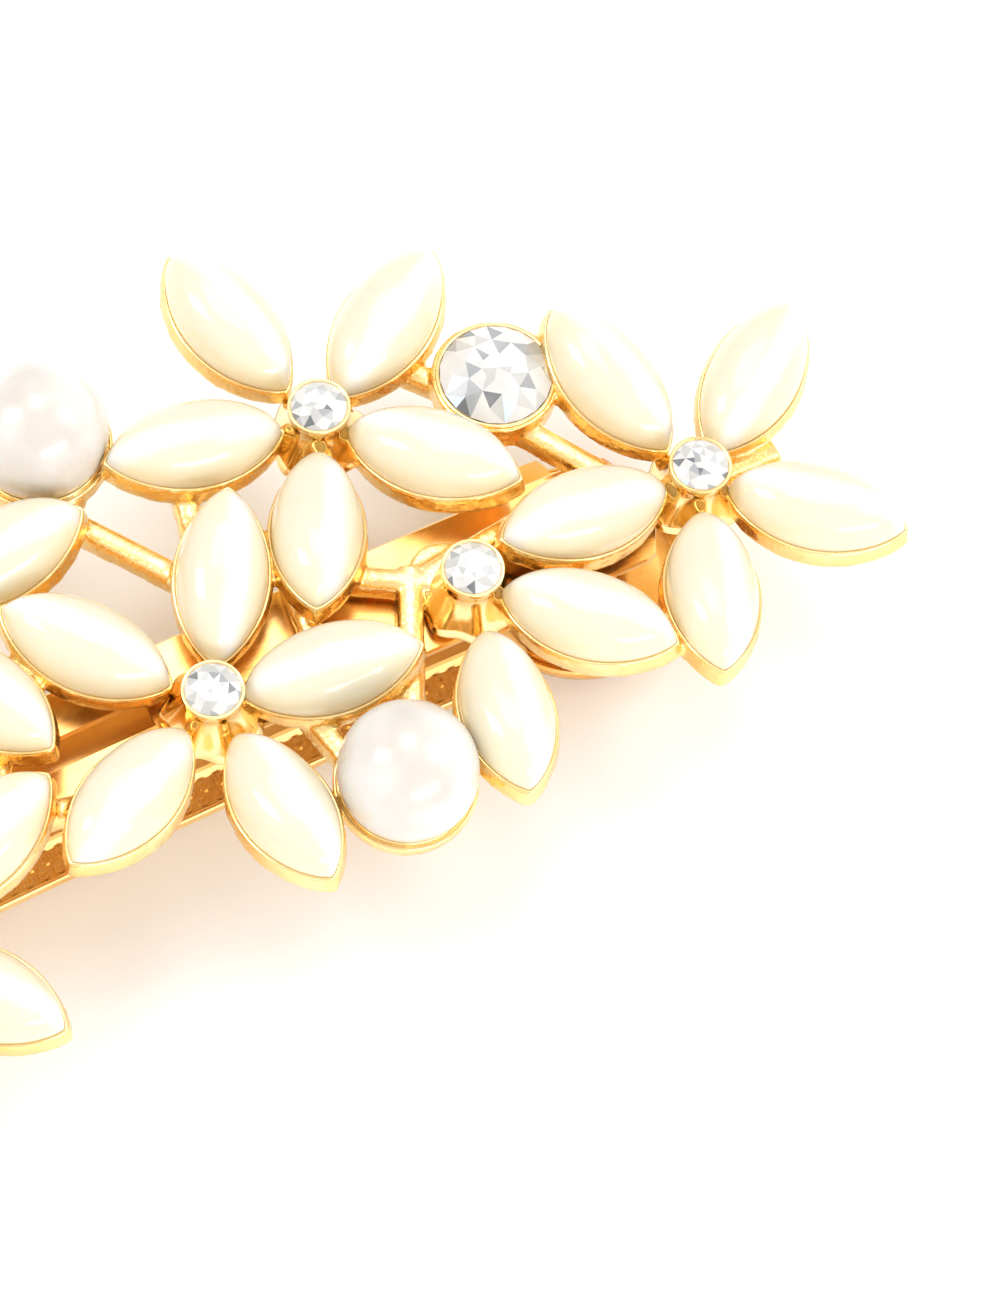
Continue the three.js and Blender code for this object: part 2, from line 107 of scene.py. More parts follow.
# How far a petal's painted sheen band lies off its middle, at most, and towards which side of the room; the
# band is a painted highlight, placed for one fixed light.
PAINTED_SHEEN_SHIFT = 0.9 * MM
PAINTED_SHEEN_SIDE = Vector((0.892, -0.452, 0))
# Cut stones: radius, height of the girdle over the casting's foot, and facets round the table.
SMALL_CUT = (1.68 * MM, 3.75 * MM, 8)
LARGE_CUT = (3.22 * MM, 2.25 * MM, 10)
PEARL_RADIUS = 4 * MM
PEARL_CENTRE = 3.3 * MM
PEARL_FLAT = 0.8 * MM
PEARL_STEPS = 40
# Settings, in millimetres. Cups: radius inside and outside, height, and height of the floor.
TRAY_FOOT = -1.25
TRAY_RIM = 1.95
LARGE_CUP = (3.25, 3.67, 2.3, 0.9)
PEARL_CUP = (3.5, 4.08, 1.45, 0.5)
# Beads round the cups: radius of the ring, height, and radius of the wire.
SMALL_BEAD = (1.74, 3.9, 0.07)
LARGE_BEAD = (3.34, 2.33, 0.14)
PEARL_BEADS = [(3.68, 1.5, 0.11), (3.98, 1.42, 0.13)]

# Bars of the casting, from point to point in millimetres from the middle of the clip.
BARS = [
    ((7, 11.2), (10, 6.7)), ((32.3, 6), (36.3, -0.3)), ((9.5, 15), (13.5, 12)),
    ((13, 11), (12, 6.5)), ((16, 3), (15.5, -1.5)), ((18.5, 2.2), (24, -1)),
    ((22, 0.3), (18, -8)), ((23.8, 0.2), (29.5, 1)), ((19.5, -11), (23, -8.5)),
    ((13, -10.5), (9.5, -9)), ((14, -8), (13, -3.5)), ((32.5, -8.2), (36.5, -8)),
    ((29, 11), (27, 13.5)), ((-3, -3.5), (2.5, -4.5)), ((-3, 5.5), (2.5, 4)),
    ((-2.5, 2), (-6, -3)), ((-13.5, 14.5), (-17.5, 11.5)), ((-24, 6.8), (-28.5, 3.6)),
    ((-17.2, 6.3), (-13.8, 3.5)), ((-22.8, -15), (-19, -14.6)),
    ((-26.3, -12.6), (-28.5, -9.8)), ((-24, -4), (-30, -5.5)), ((6.8, 13.3), (3, 11.5)),
    ((41.5, -1.1), (44, -1)),
]
BAR_HALF_WIDTH = 0.8 * MM
BAR_HEIGHT = 1.45 * MM
# The casting's pegs over the rivets, as [radius, height] in millimetres.
PEG = [(0.01, -0.1), (2.1, -0.1), (2.0, 0.8), (0.01, 0.8)]
CAST_VOXEL = 0.15 * MM
CAST_KEEP = 0.4
WALL_ROUGHNESS = 0.06 * MM


# ---------------------------------------------------------------- places

def dome(x, y=0.0):
    """Height of the domed surface over its rise; y is counted from the clip's own line."""
    return RISE - x ** 2 / (2 * DOME_RADIUS_X) - y ** 2 / (2 * DOME_RADIUS_Y)


def on_dome(x, y, z, lift=0.0):
    """Stands a piece on the dome at (x, y from the clip's line), lifted square to it."""
    up = Vector((x / DOME_RADIUS_X, y / DOME_RADIUS_Y, 1)).normalized()
    turn = Vector((0, 0, 1)).rotation_difference(up).to_matrix().to_4x4()
    place = Vector((x, CLIP_Y + y, z + dome(x, y))) + up * lift
    return Matrix.Translation(place) @ turn


def corners(node):
    """The separate corners of a CAD node, as an array."""
    points = [tuple(round(c, 7) for c in v.co) for v in frame["nodes"][node].data.vertices]
    return np.array(sorted(set(points)))


def middle(node):
    low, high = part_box(node)
    return (Vector(low) + Vector(high)) / 2


def petal_place(node):
    """Foot of a petal stone: origin at its underside, X from the flower outwards, Z up."""
    points = corners(node)
    centre = points.mean(axis=0)
    axes = np.linalg.eigh(np.cov((points - centre).T))[1].T
    up = max(axes, key=lambda a: abs(a[2]))
    up = Vector(up) * (1 if up[2] > 0 else -1)
    along = max(axes, key=lambda a: np.ptp(points @ a))
    along = Vector(along)
    hub = middle("rhinestone_" + node[len("petal_"):-2])
    if along.dot(Vector(centre) - hub) < 0:
        along = -along
    foot = Vector(centre) - up * (Vector(centre).dot(up) - min(points @ np.array(up)))
    across = up.cross(along).normalized()
    turn = Matrix((along, across, up)).transposed().to_4x4()
    return Matrix.Translation(foot) @ turn


def round_place(node, z, lift=0.0):
    """Where a round stone or pearl stands on the casting's base."""
    at = middle(node)
    x, y = at.x, at.y - CLIP_Y
    # The box's middle lies above the foot along the tilted axis, so step back down to the foot.
    height = at.z - z - dome(x, y)
    x -= height * x / DOME_RADIUS_X
    y -= height * y / DOME_RADIUS_Y
    return on_dome(x, y, z, lift)


# ---------------------------------------------------------------- mesh building

def mesh_of(verts, faces, smooth=True):
    mesh = bpy.data.meshes.new("shape")
    mesh.from_pydata([tuple(v) for v in verts], [], faces)
    mesh.validate()
    build = bmesh.new()
    build.from_mesh(mesh)
    bmesh.ops.remove_doubles(build, verts=build.verts, dist=1e-7)
    bmesh.ops.recalc_face_normals(build, faces=build.faces)
    build.to_mesh(mesh)
    build.free()
    for face in mesh.polygons:
        face.use_smooth = smooth
    return mesh


def loft(rings, closed=False):
    """A closed solid through rings of equal length: capped at both ends, or joined end to end."""
    count = len(rings[0])
    verts = [p for ring in rings for p in ring]
    faces = []
    spans = len(rings) if closed else len(rings) - 1
    for k in range(spans):
        a = k * count
        b = ((k + 1) % len(rings)) * count
        faces += [(a + i, a + (i + 1) % count, b + (i + 1) % count, b + i) for i in range(count)]
    if not closed:
        faces.append(tuple(reversed(range(count))))
        faces.append(tuple(range((len(rings) - 1) * count, len(rings) * count)))
    return verts, faces


def navette_ring(half_length, half_width, z, fullness=1.55, steps=56):
    """Points round a navette outline: a smaller fullness gives blunter tips and fuller sides."""
    ring = []
    for i in range(steps):
        angle = 2 * math.pi * i / steps
        across = math.copysign(abs(math.sin(angle)) ** fullness, math.sin(angle))
        ring.append((half_length * math.cos(angle), half_width * across, z))
    return ring


def turned(profile, segments=48, ribs=None):
    """Lathe rings of [radius, height]; ribs(radius, height, angle) may change the radius."""
    rings = []
    for r, z in profile:
        ring = []
        for i in range(segments):
            angle = 2 * math.pi * i / segments
            reach = ribs(r, z, angle) if ribs else r
            ring.append((reach * math.cos(angle), reach * math.sin(angle), z))
        rings.append(ring)
    return rings


def linked(name, mesh):
    obj = bpy.data.objects.new(name, mesh)
    bpy.context.scene.collection.objects.link(obj)
    return obj


def in_mm(points):
    return [tuple(c * MM for c in point) for point in points]


def piece(name, shape, material, body, node, place=None, smooth=True):
    """A named piece that rides on a body and stands for a CAD node."""
    obj = linked(name, mesh_of(*shape, smooth))
    obj.data.materials.append(material)
    if place is not None:
        obj.matrix_world = place
    finish_piece(obj, body, node)
    return obj


def finish_piece(obj, body, node):
    bpy.context.view_layer.update()
    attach(obj, body)
    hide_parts(node)


def clip_piece(name, shape, body, node, place=None, material=None, smooth=False):
    return piece(name, shape, material or CLIP, body, node, place, smooth)


def nodes_of(kind):
    return sorted(n for n in frame["nodes"] if n.startswith(kind))


def apply_modifiers(obj):
    graph = bpy.context.evaluated_depsgraph_get()
    fine = bpy.data.meshes.new_from_object(obj.evaluated_get(graph))
    obj.modifiers.clear()
    obj.data = fine


class Heap:
    """Several shapes gathered into one mesh."""

    def __init__(self):
        self.verts = []
        self.faces = []

    def shape(self):
        return self.verts, self.faces

    def add(self, shape, matrix=None):
        verts, faces = shape
        start = len(self.verts)
        self.verts += [matrix @ Vector(v) for v in verts] if matrix is not None else list(verts)
        self.faces += [tuple(i + start for i in face) for face in faces]


# ---------------------------------------------------------------- materials

def principled(name, color, roughness, metallic=0.0, **sockets):
    material = bpy.data.materials.new(name)
    material.use_nodes = True
    nodes = material.node_tree.nodes
    shader = nodes["Principled BSDF"]
    shader.inputs["Base Color"].default_value = (*color, 1)
    shader.inputs["Roughness"].default_value = roughness
    shader.inputs["Metallic"].default_value = metallic
    for socket, value in sockets.items():
        shader.inputs[socket.replace("_", " ")].default_value = value
    return material, nodes, material.node_tree.links, shader


def noise_node(nodes, links, scale, detail, stretch=(1, 1, 1)):
    source = nodes.new("ShaderNodeTexCoord")
    mapping = nodes.new("ShaderNodeMapping")
    mapping.inputs["Scale"].default_value = stretch
    texture = nodes.new("ShaderNodeTexNoise")
    texture.inputs["Scale"].default_value = scale
    texture.inputs["Detail"].default_value = detail
    links.new(source.outputs["Object"], mapping.inputs["Vector"])
    links.new(mapping.outputs["Vector"], texture.inputs["Vector"])
    return texture.outputs["Fac"]


def ramp(nodes, links, value, stops):
    node = nodes.new("ShaderNodeValToRGB")
    while len(node.color_ramp.elements) < len(stops):
        node.color_ramp.elements.new(0.5)
    for element, (at, color) in zip(node.color_ramp.elements, stops):
        element.position = at
        element.color = (*color, 1)
    links.new(value, node.inputs["Fac"])
    return node.outputs["Color"]


def spread(nodes, links, value, low, high):
    node = nodes.new("ShaderNodeMapRange")
    node.inputs["To Min"].default_value = low
    node.inputs["To Max"].default_value = high
    links.new(value, node.inputs["Value"])
    return node.outputs["Result"]


def bump(nodes, links, shader, value, strength, distance):
    node = nodes.new("ShaderNodeBump")
    node.inputs["Strength"].default_value = strength
    node.inputs["Distance"].default_value = distance
    links.new(value, node.inputs["Height"])
    links.new(node.outputs["Normal"], shader.inputs["Normal"])


def gold(name, light, deep, rough, grain, stretch=(1, 1, 1), grain_scale=1600):
    """Gold plate between two tones, with its roughness as (lowest, highest) and a fine grain."""
    material, nodes, links, shader = principled(name, light, rough[0], 1.0)
    tone = noise_node(nodes, links, 260, 3)
    links.new(ramp(nodes, links, tone, [(0.3, deep), (0.7, light)]), shader.inputs["Base Color"])
    fine = noise_node(nodes, links, grain_scale, 5, stretch=stretch)
    links.new(spread(nodes, links, fine, *rough), shader.inputs["Roughness"])
    bump(nodes, links, shader, fine, grain, 0.04 * MM)
    return material


# Colour of a petal stone from its edge to its crown, and of its painted sheen band, a painted highlight.
CATS_EYE_DEPTH = [
    (0.0, (0.90, 0.75, 0.50)), (0.3, (0.82, 0.72, 0.50)), (0.7, (0.73, 0.67, 0.51)),
    (1.0, (0.69, 0.645, 0.52)),
]
CATS_EYE_PAINTED_SHEEN = (0.80, 0.80, 0.78)
PAINTED_SHEEN_CORE = 0.05 * MM
PAINTED_SHEEN_EDGE = 1.0 * MM
PAINTED_SHEEN_SWAY = 0.5 * MM


def cats_eye():
    """Ivory cabochon: fibres run across the stone, and the band of light they would gather along it is
    painted in as a lighter colour.
    """
    material, nodes, links, shader = principled(
        "cats_eye", (0.67, 0.62, 0.5), 0.2,
        Subsurface_Weight=0.6, Subsurface_Scale=0.0015,
        Coat_Weight=0.5, Coat_Roughness=0.05, IOR=1.5,
    )
    shader.inputs["Subsurface Radius"].default_value = (1.0, 0.75, 0.45)
    place = nodes.new("ShaderNodeTexCoord")
    split = nodes.new("ShaderNodeSeparateXYZ")
    links.new(place.outputs["Object"], split.inputs["Vector"])
    depth = nodes.new("ShaderNodeMapRange")
    depth.inputs["From Min"].default_value = 0.6 * MM
    depth.inputs["From Max"].default_value = PETAL_HEIGHT
    links.new(split.outputs["Z"], depth.inputs["Value"])
    body = ramp(nodes, links, depth.outputs["Result"], CATS_EYE_DEPTH)
    # Painted highlight: a lighter band along the stone's length, wavering a little, stands in for its
    # sheen.
    sway = noise_node(nodes, links, 160, 2)
    shift = spread(nodes, links, sway, -PAINTED_SHEEN_SWAY, PAINTED_SHEEN_SWAY)
    across = nodes.new("ShaderNodeMath")
    across.operation = "ADD"
    links.new(split.outputs["Y"], across.inputs[0])
    links.new(shift, across.inputs[1])
    away = nodes.new("ShaderNodeMath")
    away.operation = "ABSOLUTE"
    links.new(across.outputs["Value"], away.inputs[0])
    painted_sheen = nodes.new("ShaderNodeMapRange")
    painted_sheen.interpolation_type = "SMOOTHSTEP"
    painted_sheen.inputs["From Min"].default_value = PAINTED_SHEEN_CORE
    painted_sheen.inputs["From Max"].default_value = PAINTED_SHEEN_EDGE
    painted_sheen.inputs["To Min"].default_value = 0.9
    painted_sheen.inputs["To Max"].default_value = 0.0
    links.new(away.outputs["Value"], painted_sheen.inputs["Value"])
    glow = nodes.new("ShaderNodeMix")
    glow.data_type = "RGBA"
    links.new(painted_sheen.outputs["Result"], glow.inputs["Factor"])
    links.new(body, glow.inputs[6])
    glow.inputs[7].default_value = (*CATS_EYE_PAINTED_SHEEN, 1)
    fibre = noise_node(nodes, links, 420, 3, stretch=(2.2, 0.25, 0.25))
    mix = nodes.new("ShaderNodeMix")
    mix.data_type = "RGBA"
    mix.blend_type = "SOFT_LIGHT"
    mix.inputs["Factor"].default_value = 0.12
    links.new(glow.outputs[2], mix.inputs[6])
    links.new(ramp(nodes, links, fibre, [(0.3, (0.35,) * 3), (0.7, (0.7,) * 3)]), mix.inputs[7])
    links.new(mix.outputs[2], shader.inputs["Base Color"])
    bump(nodes, links, shader, fibre, 0.02, 0.02 * MM)
    return material


def pearl_coat():
    material, nodes, links, shader = principled(
        "pearl", (0.68, 0.66, 0.64), 0.3,
        Subsurface_Weight=0.2, Subsurface_Scale=0.001,
        Coat_Weight=0.65, Coat_Roughness=0.16,
    )
    # Painted reflections: large beige-grey patches stand in for the pearl's soft reflections.
    tone = noise_node(nodes, links, 200, 2)
    links.new(ramp(nodes, links, tone, [
        (0.32, (0.61, 0.56, 0.51)), (0.46, (0.69, 0.655, 0.62)), (0.6, (0.735, 0.715, 0.685)),
    ]), shader.inputs["Base Color"])
    fine = noise_node(nodes, links, 900, 3)
    links.new(spread(nodes, links, fine, 0.24, 0.34), shader.inputs["Roughness"])
    bump(nodes, links, shader, fine, 0.02, 0.02 * MM)
    return material


def crystal(name, low, high):
    """Painted reflection: the light or dark that one facet of a foil-backed stone shows, painted under its
    clear polished face.
    """
    material, nodes, links, shader = principled(
        name, high, 0.08, Coat_Weight=1.0, Coat_Roughness=0.02, IOR=1.56,
    )
    tone = noise_node(nodes, links, 500, 2)
    links.new(ramp(nodes, links, tone, [(0.35, low), (0.65, high)]), shader.inputs["Base Color"])
    return material


GILT = gold("gilt_casting", (1.0, 0.78, 0.38), (0.98, 0.62, 0.20), (0.12, 0.36), 1.0, grain_scale=3200)
RIM = gold("gilt_rim", (1.0, 0.80, 0.42), (0.99, 0.68, 0.27), (0.08, 0.2), 0.12)
CLIP = gold("gilt_clip", (0.96, 0.63, 0.25), (0.88, 0.48, 0.14), (0.18, 0.32), 0.35,
            stretch=(0.15, 1, 1))
ARM_GILT = gold("gilt_arm", (1.0, 0.76, 0.36), (0.98, 0.62, 0.22), (0.34, 0.5), 0.6)
CATS_EYE = cats_eye()
PEARL = pearl_coat()
# Painted reflections: the tones the facets show, from white to dark, and a coloured spark of fire.
CRYSTAL_PAINTED_REFLECTIONS = [
    crystal("crystal_painted_white", (0.60, 0.59, 0.57), (0.70, 0.69, 0.67)),
    crystal("crystal_painted_light", (0.47, 0.46, 0.44), (0.57, 0.56, 0.54)),
    crystal("crystal_painted_grey", (0.32, 0.33, 0.34), (0.42, 0.42, 0.42)),
    crystal("crystal_painted_dark", (0.12, 0.13, 0.14), (0.22, 0.22, 0.23)),
    crystal("crystal_painted_spark", (0.55, 0.66, 0.80), (0.80, 0.68, 0.62)),
]
# How often each painted reflection tone comes up where the stone is painted bright, and where it is painted
# dark.
PAINTED_REFLECTION_SHARES = [[0.66, 0.23, 0.07, 0.01, 0.03], [0.36, 0.27, 0.20, 0.12, 0.05]]


# ---------------------------------------------------------------- stones

def petal_shape(shift):
    """A cabochon with upright sides and a full crown; its origin, where the painted sheen band lies, is off
    its middle by the shift.
    """
    rings = [
        navette_ring(PETAL_HALF_LENGTH * 0.97, PETAL_HALF_WIDTH * 0.95, 0),
        navette_ring(PETAL_HALF_LENGTH, PETAL_HALF_WIDTH, 0.1 * MM, 1.52),
    ]
    for i in range(PETAL_STEPS):
        angle = math.pi / 2 * i / PETAL_STEPS
        scale = math.cos(angle) ** 0.75
        z = PETAL_SIDE + (PETAL_HEIGHT - PETAL_SIDE) * math.sin(angle)
        fullness = 1.52 - 0.5 * math.sin(angle) ** 0.7
        rings.append(navette_ring(PETAL_HALF_LENGTH * scale, PETAL_HALF_WIDTH * scale, z, fullness))
    rings = [[(x, y - shift, z) for x, y, z in ring] for ring in rings]
    return loft(rings)


def cut_stone(radius, count):
    """Round brilliant: its table is divided as the facets behind it show through, so their painted
    reflections can lie on it.
    """
    crown = 0.34 * radius
    depth = 0.5 * radius
    verts = []

    def ring(points, reach, z, start):
        base = len(verts)
        for i in range(points):
            angle = 2 * math.pi * (i + start) / points
            verts.append((reach * math.cos(angle), reach * math.sin(angle), z))
        return [base + i for i in range(points)]

    star = ring(count, 0.27 * radius, crown - 0.012 * radius, 0.5)
    table = ring(count, 0.56 * radius, crown, 0)
    kite = ring(count, 0.79 * radius, 0.62 * crown, 0.5)
    upper = ring(2 * count, radius, 0.06 * radius, 0)
    lower = ring(2 * count, radius, -0.04 * radius, 0)
    centre, culet = len(verts), len(verts) + 1
    verts += [(0, 0, crown - 0.02 * radius), (0, 0, -depth)]
    faces = []
    for k in range(count):
        n = (k + 1) % count
        a, b, c = upper[2 * k], upper[2 * k + 1], upper[2 * n]
        d, e, f = lower[2 * k], lower[2 * k + 1], lower[2 * n]
        faces += [(centre, star[k], star[n]), (star[k], table[n], star[n])]
        faces += [(star[k], table[k], table[n]), (table[k], kite[k], table[n])]
        faces += [(table[k], kite[k - 1], a), (table[k], a, kite[k])]
        faces += [(kite[k], a, b), (kite[k], b, c)]
        faces += [(a, b, e, d), (b, c, f, e), (culet, d, e), (culet, e, f)]
    return verts, faces


def set_petals():
    """Sets each petal stone with its origin under its painted sheen band."""
    for node in nodes_of("petal_"):
        place = petal_place(node)
        across = place.to_3x3() @ Vector((0, 1, 0))
        # Painted highlight: the sheen band moves off the middle towards one fixed side of the room.
        shift = PAINTED_SHEEN_SHIFT * across.dot(PAINTED_SHEEN_SIDE)
        place = place @ Matrix.Translation((0, shift, 0))
        piece("stone_" + node, petal_shape(shift), CATS_EYE, "top", node, place)


def set_crystals(kind, cut):
    """Cuts each stone of a kind and gives each facet a painted reflection tone, darker in patches and
    towards the rim.
    """
    radius, seat, count = cut
    for node in nodes_of(kind):
        chance = random.Random(sum(map(ord, node)))
        place = round_place(node, CAST_BASE, seat)
        place = place @ Matrix.Rotation(chance.uniform(0, math.pi / 4), 4, "Z")
        shape = cut_stone(radius, count)
        obj = piece("stone_" + node, shape, CRYSTAL_PAINTED_REFLECTIONS[0], "top", node, place, False)
        for material in CRYSTAL_PAINTED_REFLECTIONS[1:]:
            obj.data.materials.append(material)
        tones = range(len(CRYSTAL_PAINTED_REFLECTIONS))
        shade = Vector((chance.uniform(0, 9), chance.uniform(0, 9), 0))
        # Painted reflections: facets in dark patches and near the rim mostly get the darker tones.
        for face in obj.data.polygons:
            rim = face.center.xy.length / radius
            dark = noise.noise(face.center / radius * 1.6 + shade) + 0.5 * rim > 0.3
            face.material_index = chance.choices(tones, PAINTED_REFLECTION_SHARES[dark])[0]


def set_pearls():
    """Round pearls with a flat foot, which is glued into its cup."""
    start = math.asin((PEARL_FLAT - PEARL_CENTRE) / PEARL_RADIUS)
    profile = []
    for i in range(PEARL_STEPS + 1):
        angle = start + (math.pi / 2 - start) * i / PEARL_STEPS
        reach = max(PEARL_RADIUS * math.cos(angle), 1e-6)
        profile.append((reach, PEARL_CENTRE + PEARL_RADIUS * math.sin(angle)))
    shape = loft(turned(profile, 72))
    for node in nodes_of("pearl_"):
        place = round_place(node, CAST_BASE)
        piece("bead_" + node, shape, PEARL, "top", node, place)


# ---------------------------------------------------------------- casting

def tray_shape():
    """The body of a tray: it flares towards its foot, as a casting must to leave its mould."""
    section = in_mm([
        (-0.35, 0.5), (0.2, 0.55), (0.3, 0.7), (0.28, 1.2), (0.2, 1.85), (0.14, TRAY_RIM),
        (-0.05, TRAY_RIM), (-0.15, 1.35),
    ])
    return loft([navette_ring(PETAL_HALF_LENGTH + o, PETAL_HALF_WIDTH + o, z) for o, z in section])


def bezel_shape():
    """A fine bead that holds the stone round its edge."""
    rings = []
    for i in range(10):
        angle = 2 * math.pi * i / 10
        out = (0.1 + 0.12 * math.cos(angle)) * MM
        z = (TRAY_RIM + 0.11 * math.sin(angle)) * MM
        rings.append(navette_ring(PETAL_HALF_LENGTH + out, PETAL_HALF_WIDTH + out, z))
    return loft(rings, closed=True)


def round_bead(radius, z, wire):
    """A bead round a cup's rim, in millimetres."""
    angles = [2 * math.pi * i / 10 for i in range(10)]
    section = in_mm([(radius + wire * math.cos(a), z + wire * math.sin(a)) for a in angles])
    return loft(turned(section, 56), closed=True)


def post_shape():
    """A fluted skirt that narrows upwards, with a thin-rimmed cup for the small stone on top."""
    def flutes(r, z, angle):
        skirt = max(0.0, min(1.0, (2.7 * MM - z) / (1.2 * MM)))
        return r * (1 + 0.055 * skirt * math.cos(7 * angle))

    profile = in_mm([
        (0.01, 0), (2.75, 0), (2.88, 0.12), (2.9, 0.3), (2.6, 0.75), (2.3, 1.2), (2.05, 1.65),
        (1.85, 2.1), (1.72, 2.5), (1.67, 2.8), (1.7, 3.05), (1.78, 3.3), (1.8, 3.6), (1.8, 3.9),
        (1.77, 3.96), (1.62, 3.96), (1.6, 3.9), (1.6, 3.3), (0.01, 3.1),
    ])
    return loft(turned(profile, 84, flutes))


def cup_shape(inner, outer, height, floor):
    """A round cup with upright walls, in millimetres, to be closed by beads round its rim."""
    profile = in_mm([
        (0.01, 0), (outer - 0.5, 0), (outer - 0.1, 0.3), (outer, height - 0.2), (outer - 0.06, height),
        (inner + 0.05, height), (inner, height - 0.1), (inner - 0.05, floor), (0.01, floor),
    ])
    return loft(turned(profile, 56))


def bar_shape(start, end):
    """A bar with a broad rounded back, sunk between the trays."""
    a = Vector((start[0] * MM, start[1] * MM, 0))
    b = Vector((end[0] * MM, end[1] * MM, 0))
    along = (b - a).normalized()
    side = Vector((-along.y, along.x, 0))
    rings = []
    for t in np.linspace(-BAR_HALF_WIDTH, (b - a).length + BAR_HALF_WIDTH, 12):
        at = a + along * t
        level = CAST_BASE + dome(at.x, at.y) + 0.15 * MM
        ring = []
        for i in range(17):
            angle = math.pi * i / 16
            reach = math.copysign(abs(math.cos(angle)) ** 0.6, math.cos(angle))
            rise = max(0.0, math.sin(angle)) ** 0.6
            out = side * (BAR_HALF_WIDTH * reach)
            ring.append(Vector((at.x, at.y + CLIP_Y, level + BAR_HEIGHT * rise)) + out)
        rings.append(ring)
    return loft(rings)


def rough_walls(mesh):
    """Leaves the steep sides slightly uneven, as a polished casting is where no wheel reaches."""
    normals = [v.normal.copy() for v in mesh.vertices]
    for vertex, normal in zip(mesh.vertices, normals):
        steep = max(0.0, 0.75 - abs(normal.z)) / 0.75
        bumps = noise.noise(vertex.co * 1500) + 0.5 * noise.noise(vertex.co * 3600)
        vertex.co += normal * (WALL_ROUGHNESS * steep * bumps)


def make_casting():
    """Trays, cups, bars and pegs melted into one body, with its finer rims and posts beside it."""
    body = Heap()
    rims = Heap()
    posts = Heap()
    tray = tray_shape()
    bezel = bezel_shape()
    lower = Matrix.Translation((0, 0, TRAY_FOOT * MM))
    for node in nodes_of("petal_"):
        place = petal_place(node) @ lower
        body.add(tray, place)
        rims.add(bezel, place)
    post = post_shape()
    for node in nodes_of("rhinestone_"):
        place = round_place(node, CAST_BASE)
        posts.add(post, place)
        rims.add(round_bead(*SMALL_BEAD), place)
    for kind, cup, beads in [("large_stone_", LARGE_CUP, [LARGE_BEAD]), ("pearl_", PEARL_CUP, PEARL_BEADS)]:
        for node in nodes_of(kind):
            place = round_place(node, CAST_BASE)
            body.add(cup_shape(*cup), place)
            for bead in beads:
                rims.add(round_bead(*bead), place)
    for start, end in BARS:
        body.add(bar_shape(start, end))
    for node in ("rivet_left", "rivet_right"):
        body.add(loft(turned(in_mm(PEG))), on_dome(middle(node).x, 0, CAST_BASE))

    cast = linked("casting", mesh_of(*body.shape()))
    remesh = cast.modifiers.new("merge", "REMESH")
    remesh.mode = "VOXEL"
    remesh.voxel_size = CAST_VOXEL
    soften = cast.modifiers.new("soften", "SMOOTH")
    soften.factor = 0.5
    soften.iterations = 3
    apply_modifiers(cast)
    rough_walls(cast.data)
    thin = cast.modifiers.new("thin", "DECIMATE")
    thin.ratio = CAST_KEEP
    apply_modifiers(cast)
    cast.data.materials.append(GILT)
    for face in cast.data.polygons:
        face.use_smooth = True
    finish_piece(cast, "top", "cast_frame")
    piece("casting_rims", rims.shape(), RIM, "top", "cast_frame")
    piece("casting_posts", posts.shape(), RIM, "top", "cast_frame")


# ---------------------------------------------------------------- clip

def strip(x0, x1, section, level=lambda x: 0.0, narrow=lambda x: 1.0, steps=72):
    """Sweeps a section of (y, z) along the clip's arch."""
    rings = []
    for x in np.linspace(x0, x1, steps):
        z0 = dome(x) + level(x)
        rings.append([(x, CLIP_Y + y * narrow(x), z0 + z) for y, z in section])
    return loft(rings)


def flat_section(half, z0, z1, edge=0.12 * MM):
    return [
        (-half + edge, z0), (half - edge, z0), (half, z0 + edge), (half, z1 - edge),
        (half - edge, z1), (-half + edge, z1), (-half, z1 - edge), (-half, z0 + edge),
    ]


def rounded_ends(x0, x1, radius):
    def narrow(x):
        reach = min(x - x0, x1 - x)
        if reach >= radius:
            return 1.0
        return 0.55 + 0.45 * math.sqrt(max(0.0, 1 - (1 - reach / radius) ** 2))
    return narrow


def cut_box(obj, place, half_x, half_y):
    """Cuts a square-cornered opening through a piece."""
    unit = [(x, y, z) for x in (-1, 1) for y in (-1, 1) for z in (-1, 1)]
    verts = [(x * half_x, y * half_y, z * CUT_HALF_HEIGHT) for x, y, z in unit]
    faces = [(0, 1, 3, 2), (4, 6, 7, 5), (0, 4, 5, 1), (2, 3, 7, 6), (0, 2, 6, 4), (1, 5, 7, 3)]
    tool = linked("cutter", mesh_of(verts, faces, False))
    tool.matrix_world = place
    cut = obj.modifiers.new("cut", "BOOLEAN")
    cut.operation = "DIFFERENCE"
    cut.solver = "EXACT"
    cut.object = tool
    bpy.context.view_layer.update()
    apply_modifiers(obj)
    bpy.data.objects.remove(tool)


def bevelled(obj, width):
    """Rounds a piece's sharp edges."""
    bevel = obj.modifiers.new("edges", "BEVEL")
    bevel.width = width
    bevel.segments = 2
    bevel.limit_method = "ANGLE"
    apply_modifiers(obj)


def soft_block(x, y, z, corner, edge):
    """A block about its own middle, rounded in plan and along its edges."""
    rings = []
    for height, inset in [(-z, edge), (edge - z, 0), (z - edge, 0), (z, edge)]:
        ring = []
        for i in range(32):
            angle = 2 * math.pi * (i + 0.5) / 32
            side_x = math.copysign(x - corner, math.cos(angle))
            side_y = math.copysign(y - corner, math.sin(angle))
            reach = corner - inset
            ring.append((side_x + reach * math.cos(angle), side_y + reach * math.sin(angle), height))
        rings.append(ring)
    return loft(rings)


def dimple():
    """A small raised ring."""
    angles = [2 * math.pi * i / 6 for i in range(6)]
    section = in_mm([(0.27 + 0.12 * math.cos(a), 0.2 * math.sin(a)) for a in angles])
    return loft(turned(section, 14), closed=True)


